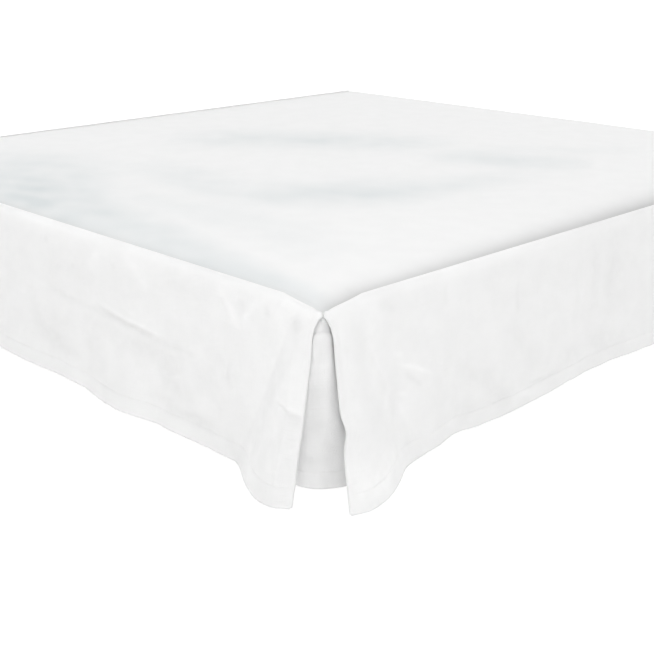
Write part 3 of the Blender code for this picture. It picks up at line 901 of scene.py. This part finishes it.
# the underlays behind the two slits
underlay = {
    "halfWidth": 0.160, "behind": 0.0010, "seamGap": 0.0007, "rounding": 0.0075, "roundingHem": 0.0115,
    "turnOver": 0.024, "innerPower": 0.5, "cutOffset": (9.0, 0.0),
    "step": 0.0037, "topRows": ((0.0, 0.020, 0.004), (0.020, 0.040, 0.0018)), "rowStep": 0.0042,
    "bulge": 0.020, "bulgeAt": 0.055, "bulgeFar": 0.100,
    "belly": 0.022, "bellyPower": 1.2, "bellyWidth": 0.036, "bellyLeast": 0.004, "bellyTo": 0.026,
    # a lesser swell on the other side: reach, middle, half width
    "sideSwell": (0.0075, -0.036, 0.024), "swellsFrom": 0.05,
    "grooveDepth": 0.0095, "tuckAt": 0.027, "tuckBend": 0.35, "tuckDepth": 0.0022,
    "tuckOver": 0.0035, "tuckFade": 0.09, "tuckPaintOver": 0.003,
    "hemDip": 0.0005, "hemWave": 0.0007, "hemTurn": 41,
    "waves": [(0, 0.03, 0.12, 0.0005), (1, 0.012, 0.03, 0.0001)],
    "chance": [(2, 16, (0.03, 0.09), (0.005, 0.010), (0.0002, 0.0006), math.pi / 2)],
    # the chance creases' reach to each side, and how far they keep from the top and the hem
    "chanceTo": (0.1, 0.05, 0.04),
    # painted light away from the middle of the slit, where the panels' edges shade the cloth, less of it near
    # the hem; painted shade on the cap over the tuck and painted light at the cap's foot-side edge
    "whiter": (0.08, 0.66, 0.020), "whiterMiddle": 0.008, "whiterFrom": 0.30,
    "capGrey": 0.85, "capGreyTo": (-0.012, 0.034), "capWhite": 0.80, "capWhiteFrom": (0.009, 0.010),
    "hemGrey": 0.75, "hemGreyFrom": (0.84, 0.12),
    "chanceMarks": (3, 0.02, 0.09, 0.35),
    # painted shade (above 0) and painted light in the slit, some of it lifting the shade between the cloths
    "paintedMarks": [
        ([(6, 40), (4, 120), (6, 225)], 7.5, 1.5),
        ([(22, -10), (18, 60), (17, 150), (24, 210), (50, 330)], 5, -2.6),
        ([(-22, 0), (-24, 65), (-26, 110), (-32, 170)], 5.5, -2.4),
        ([(0, 16), (-2, 50), (0, 90)], 22, 1.6),
        ([(-13, 26), (-14, 80), (-13, 150)], 9, 2.2),
        ([(2, 80), (3, 120), (0, 200)], 10, -0.6),
        ([(30, 90), (40, 200), (45, 345)], 40, 0.9),
        ([(-50, 230), (-60, 345)], 35, 1.0),
        ([(34, 250), (10, 272), (-6, 276)], 6, -0.5),
        ([(0, 60), (0, 210), (0, 370)], 60, 0.65),
    ],
}


def underlayOut(u, d, share, height, seed, bellyShare):
    spread = flareWidth(share)
    middle, far = underlay["bulgeAt"] * spread, underlay["bulgeFar"] * spread
    out = underlay["bulge"] * share * softBump(np.abs(u) - middle, middle, far)
    # the cloth hangs from a tuck, a little proud of the cap above it, and bellies in the slit
    tuck = d - underlay["tuckAt"] - underlay["tuckBend"] * np.abs(u)
    proud = underlay["tuckDepth"] * smoothStep(tuck / underlay["tuckOver"])
    out = out + proud * np.exp(-np.maximum(0, tuck - underlay["tuckOver"]) / underlay["tuckFade"])
    arch = np.sin(np.pi * np.clip(share, 0, 1))
    across = underlay["bellyWidth"] * spread + underlay["bellyLeast"]
    belly = underlay["belly"] * arch ** underlay["bellyPower"]
    belly = belly * hump(u, underlay["bellyTo"] * spread, across)
    reach, swellAt, wide = underlay["sideSwell"]
    swell = reach * arch * hump(u, swellAt * spread, wide * spread)
    out = out + bellyShare * smoothStep(d / underlay["swellsFrom"]) * (belly + swell)
    across, fromTop, fromHem = underlay["chanceTo"]
    out = out + crumpled(underlay, u, d, seed, ((-across, across), (fromTop, height - fromHem)))
    inner = softBump(u, underlay["halfWidth"], underlay["halfWidth"], underlay["innerPower"])
    return out * inner - underlay["behind"] - cloth["hemStep"], tuck


def underlayPaintedMarks(u, d, share, tuck, seed):
    # painted light on the slit's sides, painted shade on the cap over the tuck, and painted crease shade and
    # highlight below it with tone that differs at random
    below = smoothStep(tuck / underlay["tuckPaintOver"])
    inMiddle, aside, toSide = underlay["whiter"]
    fromMiddle = np.abs(u - underlay["whiterMiddle"]) / (toSide * (1 + share))
    paintedLight = inMiddle + (aside - inMiddle) * smoothStep(fromMiddle)
    paintedLight *= smoothStep(share / underlay["whiterFrom"])
    paintedLight *= 1 - underlay["hemGrey"] * rise(share, *underlay["hemGreyFrom"])
    capWhite = underlay["capWhite"] * rise(u, *underlay["capWhiteFrom"])
    capGrey = underlay["capGrey"] * (1 - rise(u, *underlay["capGreyTo"]))
    step, *wave = underlay["chanceMarks"]
    paintedShading = rumple(u, d, seed + step, *wave) + drawnLines(u, d, underlay["paintedMarks"])
    return {"paintedLight": paintedLight * below + capWhite * (1 - below), "paintedShade": capGrey * (1 - below),
            "paintedShading": paintedShading * below}


def makeUnderlay(name, node, corner, alongFoot, flip, seed, bellyShare):
    top = seamZ - underlay["grooveDepth"] - cloth["solidCloth"] - underlay["seamGap"]
    height = top - cloth["hemClearance"]
    hemTop = height - cloth["hemHeight"]
    columns = stretches((-underlay["halfWidth"], underlay["halfWidth"], underlay["step"]))
    topRows, hemRows = underlay["topRows"], hemRuns(hemTop, height)
    rows = stretches(*topRows, (topRows[-1][1], hemRows[0][0], underlay["rowStep"]), *hemRows)
    u, d = np.meshgrid(columns, rows)
    share = d / height
    root = np.hypot(u, underlay["rounding"] + (underlay["roundingHem"] - underlay["rounding"]) * share)
    onFoot, onSide = (u + root) / 2, (-u + root) / 2
    out, tuck = underlayOut(u, d, share, height, seed, bellyShare)
    seam = top - seamDroop(np.abs(u))
    hem = cloth["hemClearance"] - underlay["hemDip"] - underlay["hemWave"] * np.sin(u * underlay["hemTurn"])
    # round the corner it turns from facing out of the side to facing out of the foot
    faces = smoothStep(u / underlay["turnOver"] + 0.5)[..., None]
    foot, side = np.array([alongFoot, 0, 0.0]), np.array([0, 1.0, 0.0])
    outward = -side * faces - foot * (1 - faces)
    points = foot * onFoot[..., None] + side * onSide[..., None] + outward * out[..., None]
    points += np.array([*corner, 0.0])
    points[..., 2] += seam + (hem - seam) * share
    cut = np.stack([u, d], axis=-1) + underlay["cutOffset"]
    piece = sheetObject(name, columns, rows, points, cut, linenMaterial, d > hemTop, flip,
                        underlayPaintedMarks(u, d, share, tuck, seed))
    normals = gridNormals(points) * (1 if flip else -1)
    line = nearestIndex(rows, hemTop + cloth["hemStitchBelow"])
    stitches = sewRows(name, [(points[line], normals[line])])
    for part in (piece, stitches):
        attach(part, "root")
    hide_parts(node)
    print(name, "hung")


makeUnderlay("rightUnderlay", "underlay_right", (halfWidth, footY), -1.0, True, 71, 1.0)
makeUnderlay("leftUnderlay", "underlay_left", (-halfWidth, footY), 1.0, False, 81, 0.4)


# the deck, which lies on the base under the mattress
deck = {
    # grooves along the foot seam and the side seams: depth, width, power
    "footGroove": (0.0120, 0.065, 2.2), "sideGroove": (0.0200, 0.062, 2.5),
    "crown": 0.004, "crownWidth": 0.100, "restRise": 0.0045, "restHalf": 0.150, "restFade": 0.200,
    "headTurnDown": 0.018, "headTurnWidth": 0.045, "headHem": 0.025, "seed": 101,
    "waves": [(0, 0.06, 0.30, 0.00045)],
    "chance": [(1, 60, (0.08, 0.30), (0.010, 0.022), (0.0003, 0.0008), math.pi / 4)],
    # pulls from the seam, short ripples across the edge: length, drift, its turn, length of a group, phase
    "pull": (0.061, 1.7, 19, 0.37, 0.6), "pullHeight": 0.0005, "pullAt": 0.035, "pullWidth": 0.022,
    "smoothFrom": (0.004, 0.02),
    # the wedge of painted cool shade along the foot seam, where the cloth slopes away from the light: width
    # and growth, its limits
    "wedge": (0.035, 0.185), "wedgeLimits": (0.05, 0.27), "wedgeShade": 0.57, "wedgeTo": 1.46,
    "coolShadeSeed": 105, "coolShadeUneven": (0.25, 0.05, 0.30), "cornerLess": 0.6, "cornerWidth": 0.07,
    # painted shade beside the side seams, which grows towards the head, and along the foot seam
    "growsFrom": 0.1, "sideShare": (0.70, 0.30), "sideFrom": 0.016, "sideFall": (0.018, 0.014),
    "sidePower": 1.1, "footShare": 0.45, "footFall": 0.020,
    "bandShare": 0.34, "bandTo": 0.0265, "bandOver": 0.008, "greyFrom": (-0.01, 0.05),
    # the grid: finer runs at its edges, where its steps change and the steps
    "edgeRun": 0.06, "columnMiddle": 0.15, "columnSteps": (0.006, 0.0115, 0.0092, 0.0045),
    "rowMiddle": 0.0, "rowSteps": (0.0045, 0.0092, 0.0125, 0.006),
    # swells and troughs, in metres: middle x and y, half length and width, turn in degrees, height
    "swells": [
        (0.380, -0.665, 0.500, 0.190, 0, 0.0050),
        (0.735, -0.150, 0.620, 0.200, 90, 0.0050),
        (0.000, -0.120, 0.480, 0.240, 29, 0.0045),
        (0.640, 0.680, 0.300, 0.230, 70, 0.0040),
        (-0.560, -0.600, 0.330, 0.200, 8, 0.0045),
        (-0.500, -0.080, 0.300, 0.220, 60, 0.0045),
        (-0.640, 0.600, 0.280, 0.220, 100, 0.0035),
        (0.020, 0.700, 0.330, 0.190, -12, 0.0045),
        (0.215, -0.812, 0.560, 0.090, -11, -0.0020),
        (0.015, -0.462, 0.420, 0.130, -11, -0.0020),
        (0.495, -0.012, 0.460, 0.130, 84, -0.0020),
        (-0.300, 0.380, 0.400, 0.120, 35, -0.0020),
    ],
    # hollows in the deck, in millimetres: their lines as (from corner along the foot,
    # along the side) points, half width, depth, and how much painted cool shade they carry
    "hollows": [
        ([(790, 430), (680, 530), (580, 630), (520, 750), (460, 920)], 120, 1, 0.64),
        ([(560, 620), (475, 780), (445, 960), (420, 1180)], 85, 0.6, 0.36),
        ([(1270, 480), (1060, 500), (880, 470), (680, 440), (570, 430)], 95, 1.2, 0.36),
        ([(770, 1160), (640, 1230), (500, 1290), (350, 1380)], 105, 1.2, 0.5),
        ([(1500, 800), (1250, 1030), (1050, 1170), (800, 1360)], 150, 1.4, 0.5),
        ([(1680, 200), (1380, 300), (1100, 260)], 150, 1, 0.42),
        ([(1500, 260), (1300, 200), (1150, 140), (1000, 90), (820, 60)], 95, 0.6, 0.8),
        ([(1100, 260), (840, 250), (620, 280), (400, 270), (180, 200)], 90, 0.3, 0.22),
        ([(340, 1660), (500, 1520), (660, 1370), (800, 1200)], 80, 0.3, 0.17),
        ([(1420, 340), (1160, 270), (1010, 190), (760, 120)], 70, 0.3, 0.5),
        ([(1220, 60), (1040, 70), (880, 20)], 55, 0.2, 0.95),
    ],
    # creases near the corner, as (from foot seam corner along the foot, along the side) points
    "creases": [
        ([(800, 165), (740, 150), (670, 148)], 8, 1),
        ([(360, 158), (300, 150), (250, 152)], 8, 0.9),
        ([(160, 85), (120, 60), (100, 45)], 7, 1.1),
        ([(100, 110), (85, 70)], 7, -0.6),
        ([(1160, 155), (1080, 140)], 10, 0.9),
        ([(60, 330), (75, 290)], 8, 0.9),
    ],
}


def deckHeight(x, y):
    side = halfWidth - np.abs(x)
    foot = y - footY
    head = headY - y
    edge = np.minimum(side, foot)
    swelling = np.zeros(x.shape)
    for middleX, middleY, long, wide, turn, height in deck["swells"]:
        turn = math.radians(turn)
        fromX, fromY = x - middleX, y - middleY
        lengthwise = fromX * math.cos(turn) + fromY * math.sin(turn)
        crosswise = fromY * math.cos(turn) - fromX * math.sin(turn)
        swelling += height * smoothStep(1 - np.hypot(lengthwise / long, crosswise / wide))
    fromRest = np.maximum(np.abs(x), np.abs(y - (footY + headY) / 2)) - deck["restHalf"]
    swelling += (deck["restRise"] - swelling) * smoothStep(1 - fromRest / deck["restFade"])
    height = swelling + deck["crown"] * (1 - np.maximum(0, 1 - edge / deck["crownWidth"]) ** 2)
    grooves = (deck["footGroove"], deck["sideGroove"])
    grooveShares = [np.maximum(0, 1 - run / width) ** power
                    for run, (_, width, power) in zip((foot, side), grooves)]
    for (depth, _, _), share in zip(grooves, grooveShares):
        height -= depth * share
    height += min(depth for depth, _, _ in grooves) * grooveShares[0] * grooveShares[1]
    height -= deck["headTurnDown"] * np.maximum(0, 1 - head / deck["headTurnWidth"]) ** 2
    return height - seamDroop(np.hypot(side, foot))


def deckDetail(x, y):
    side, foot = halfWidth - np.abs(x), y - footY
    edge = np.minimum(side, foot)
    fine = crumpled(deck, x, y, deck["seed"], ((-halfWidth, halfWidth), (footY, headY)))
    hollows = [(points, width, -depth) for points, width, depth, _ in deck["hollows"]]
    fine += drawnLines(halfWidth - x, foot, deck["creases"] + hollows, millimetre)
    pulls = ripples(np.where(side < foot, y, x), *deck["pull"])
    fine += deck["pullHeight"] * pulls * hump(edge, deck["pullAt"], deck["pullWidth"])
    return fine * rise(edge, *deck["smoothFrom"])


def deckCoolShade(x, y):
    # painted cool shade in the wedge along the foot seam and in the hollows, less of it at the corner
    alongFoot, alongSide = halfWidth - x, y - footY
    start, grows = deck["wedge"]
    wedge = np.clip(start + grows * alongFoot, *deck["wedgeLimits"])
    field = deck["wedgeShade"] * smoothStep(deck["wedgeTo"] - alongSide / wedge)
    for points, width, _, shadeShare in deck["hollows"]:
        field = np.maximum(field, drawnLine(alongFoot, alongSide, points, width, shadeShare))
    atCorner = hump(np.hypot(alongFoot, alongSide), 0, deck["cornerWidth"])
    field *= uneven(x, y, deck["coolShadeSeed"], *deck["coolShadeUneven"])
    return np.clip(field * (1 - deck["cornerLess"] * atCorner), 0, 1)


def deckSeamShade(x, y):
    # painted shade where the cloth turns down out of the light beside its seams
    side, foot = halfWidth - np.abs(x), y - footY
    grows = np.clip(foot - deck["growsFrom"], 0, 1)
    (share, shareGrows), (fall, fallGrows) = deck["sideShare"], deck["sideFall"]
    past = np.maximum(0, side - deck["sideFrom"]) / (fall + fallGrows * grows)
    atSide = (share + shareGrows * grows) * np.exp(-(past ** deck["sidePower"]))
    atFoot = deck["footShare"] * hump(foot, 0, deck["footFall"])
    band = deck["bandShare"] * smoothStep((deck["bandTo"] - foot) / deck["bandOver"])
    field = np.maximum(np.maximum(atSide, atFoot), band)
    return np.clip(field * rise(foot, *deck["greyFrom"]), 0, 1)


def edgedStretches(low, middle, high, steps):
    places = (low, low + deck["edgeRun"], middle, high - deck["edgeRun"], high)
    return stretches(*zip(places, places[1:], steps))


def makeDeck():
    side, foot, head = halfWidth - seamGap, footY + seamGap, headY - seamGap
    columns = edgedStretches(-side, deck["columnMiddle"], side, deck["columnSteps"])
    rows = edgedStretches(foot, deck["rowMiddle"], head, deck["rowSteps"])
    x, y = np.meshgrid(columns, rows)
    z = seamZ + deckHeight(x, y) + deckDetail(x, y)
    points = np.stack([x, y, z], axis=-1)
    hemTop = head - deck["headHem"]
    # painted cool shade and painted shade beside the seams
    paintedMarks = {"paintedCoolShade": deckCoolShade(x, y), "paintedShade": deckSeamShade(x, y)}
    piece = sheetObject("deckSheet", columns, rows, points, points[..., :2], cottonMaterial, y > hemTop,
                        False, paintedMarks)
    line = nearestIndex(rows, hemTop + stitching["headInset"])
    stitches = sewRows("deckSheet", [(points[line], gridNormals(points)[line])])
    for part in (piece, stitches):
        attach(part, "root")
    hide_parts("platform")
    print("deck laid,", len(columns), "by", len(rows), "points")


makeDeck()


# the plain bed base
baseLow, baseHigh = (Vector(corner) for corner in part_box("bed_base"))
baseCover = {
    # radii of the upright corners, the upper and the lower edge, each with its bevel's segments
    "corner": (0.090, 12), "upper": (0.030, 8), "lower": (0.010, 4), "edgeReach": 0.001,
    "crown": 0.0055, "crownMargin": 0.055, "sharpAngle": 40,
    "welt": 0.0032, "weltSegments": 14, "weltResolution": 3, "underUpper": 0.004, "overLower": 0.003,
}


def roundedRing(low, high, radius, z):
    # a closed path round a rectangle with round corners
    places = []
    left, right, near, far = low.x + radius, high.x - radius, low.y + radius, high.y - radius
    segments = baseCover["weltSegments"]
    for turn, middle in enumerate(((right, far), (left, far), (left, near), (right, near))):
        for i in range(segments + 1):
            angle = math.radians(90 * turn + 90 * i / segments)
            places.append(Vector((*middle, z)) + Vector((math.cos(angle), math.sin(angle), 0)) * radius)
    return places


def makeWelt(name, z):
    path = roundedRing(baseLow, baseHigh, baseCover["corner"][0], z)
    curve = bpy.data.curves.new(name, "CURVE")
    curve.dimensions = "3D"
    spline = curve.splines.new("POLY")
    spline.points.add(len(path) - 1)
    for point, place in zip(spline.points, path):
        point.co = (*place, 1)
    spline.use_cyclic_u = True
    curve.bevel_depth = baseCover["welt"]
    curve.bevel_resolution = baseCover["weltResolution"]
    holder = bpy.data.objects.new(name + "Path", curve)
    bpy.context.scene.collection.objects.link(holder)
    graph = bpy.context.evaluated_depsgraph_get()
    mesh = bpy.data.meshes.new_from_object(holder.evaluated_get(graph))
    bpy.data.objects.remove(holder)
    mesh.name = name
    mesh.materials.clear()
    mesh.materials.append(coverMaterial)
    mesh.shade_smooth()
    piece = bpy.data.objects.new(name, mesh)
    bpy.context.scene.collection.objects.link(piece)
    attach(piece, "root")


def bevelEdges(bm, edges, size):
    radius, segments = size
    bmesh.ops.bevel(bm, geom=edges, offset=radius, segments=segments, profile=0.5,
                    affect="EDGES", material=-1)


def makeBase():
    size, middle = baseHigh - baseLow, (baseHigh + baseLow) / 2
    rim = baseHigh.z - baseCover["crown"]
    bm = bmesh.new()
    bmesh.ops.create_cube(bm, size=1.0)
    bmesh.ops.scale(bm, verts=bm.verts, vec=(size.x, size.y, rim - baseLow.z))
    bmesh.ops.translate(bm, verts=bm.verts, vec=(middle.x, middle.y, (rim + baseLow.z) / 2))
    reach = baseCover["edgeReach"]
    upright = [e for e in bm.edges if abs(e.verts[0].co.z - e.verts[1].co.z) > size.z / 2]
    bevelEdges(bm, upright, baseCover["corner"])
    upper = [e for e in bm.edges if min(v.co.z for v in e.verts) > rim - reach]
    bevelEdges(bm, upper, baseCover["upper"])
    lower = [e for e in bm.edges if max(v.co.z for v in e.verts) < baseLow.z + reach]
    bevelEdges(bm, lower, baseCover["lower"])
    lid = max(bm.faces, key=lambda face: face.calc_center_median().z)
    bmesh.ops.inset_region(bm, faces=[lid], thickness=baseCover["crownMargin"])
    bmesh.ops.translate(bm, verts=lid.verts, vec=(0, 0, baseCover["crown"]))
    # bevel leaves the edges and faces in an order that changes from run to run
    bm.verts.index_update()
    for elements in (bm.edges, bm.faces):
        elements.sort(key=lambda item: sum(vert.index ** 0.5 for vert in item.verts))
    piece = meshObject("baseCover", bm, coverMaterial)
    piece.data.set_sharp_from_angle(angle=math.radians(baseCover["sharpAngle"]))
    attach(piece, "root")
    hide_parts("bed_base")
    makeWelt("baseUpperWelt", rim - baseCover["upper"][0] - baseCover["underUpper"])
    makeWelt("baseLowerWelt", baseLow.z + baseCover["lower"][0] + baseCover["overLower"])
    print("base covered")


makeBase()

for name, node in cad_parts.items():
    if name.startswith("leg_"):
        node.data.materials.clear()
        node.data.materials.append(woodLook)
print("legs finished")


# floor, light and camera
studio = {
    "floorSize": 30.0, "skyColour": (1.0, 1.0, 1.0, 1.0), "skyStrength": 0.34, "viewTransform": "Standard",
    "aimHeight": 0.25, "sunDistance": 5.0,
}
floorLook = {
    "Base Color": (0.30, 0.30, 0.30, 1.0), "Roughness": 0.9, "Specular IOR Level": 0.1,
    "Emission Color": (1.0, 1.0, 1.0, 1.0), "Emission Strength": 0.85,
}
# wide soft lights: name, bearing and height in degrees, softness, strength
softLights = [
    ("backLight", 90, 40, 50, 1.54),
    ("sideLight", 180, 40, 50, 1.22),
    ("frontRightFill", -22, 18, 35, 1.09),
    ("frontLeftFill", -110, 18, 35, 0.65),
]
# one nearer softbox in front of the corner: bearing and height, distance, size, power
softbox = {"bearing": -48, "height": 33, "distance": 2.4, "size": 1.0, "power": 14.3}


def makeFloor():
    bm = bmesh.new()
    bmesh.ops.create_grid(bm, x_segments=1, y_segments=1, size=studio["floorSize"])
    material, _, _ = newMaterial("paleFloor", floorLook)
    floor = meshObject("floor", bm, material)


def hangLight(name, lamp, bearing, height, distance):
    bearing, height = math.radians(bearing), math.radians(height)
    level = math.cos(height)
    away = Vector((math.cos(bearing) * level, math.sin(bearing) * level, math.sin(height)))
    holder = bpy.data.objects.new(name, lamp)
    holder.location = Vector((halfWidth, footY, studio["aimHeight"])) + away * distance
    holder.rotation_euler = (-away).to_track_quat("-Z", "Y").to_euler()
    holder.visible_camera = False
    bpy.context.scene.collection.objects.link(holder)


def makeLights():
    world = bpy.data.worlds.new("studioSky")
    world.use_nodes = True
    background = world.node_tree.nodes["Background"]
    background.inputs["Color"].default_value = studio["skyColour"]
    background.inputs["Strength"].default_value = studio["skyStrength"]
    bpy.context.scene.world = world
    for name, bearing, height, softness, strength in softLights:
        lamp = bpy.data.lights.new(name, "SUN")
        lamp.angle = math.radians(softness)
        lamp.energy = strength
        hangLight(name, lamp, bearing, height, studio["sunDistance"])
    lamp = bpy.data.lights.new("softbox", "AREA")
    lamp.size = softbox["size"]
    lamp.energy = softbox["power"]
    hangLight("softbox", lamp, softbox["bearing"], softbox["height"], softbox["distance"])


# the camera stands off the near foot corner, level left to right
cameraSet = {"lens": 62.635, "sensor": 36.0, "fromCorner": (1.3234, -1.2926, 0.6026),
             "heading": (-0.7126, 0.7016), "tiltDown": math.radians(19.164)}


def makeCamera():
    camera = bpy.data.cameras.new("camera")
    camera.lens = cameraSet["lens"]
    camera.sensor_width = cameraSet["sensor"]
    holder = bpy.data.objects.new("camera", camera)
    holder.location = Vector((halfWidth, footY, seamZ)) + Vector(cameraSet["fromCorner"])
    level = math.cos(cameraSet["tiltDown"])
    headingX, headingY = cameraSet["heading"]
    look = Vector((headingX * level, headingY * level, -math.sin(cameraSet["tiltDown"])))
    holder.rotation_euler = look.to_track_quat("-Z", "Y").to_euler()
    bpy.context.scene.collection.objects.link(holder)
    bpy.context.scene.camera = holder


makeFloor()
makeLights()
makeCamera()
bpy.context.scene.view_settings.view_transform = studio["viewTransform"]
print("studio set")
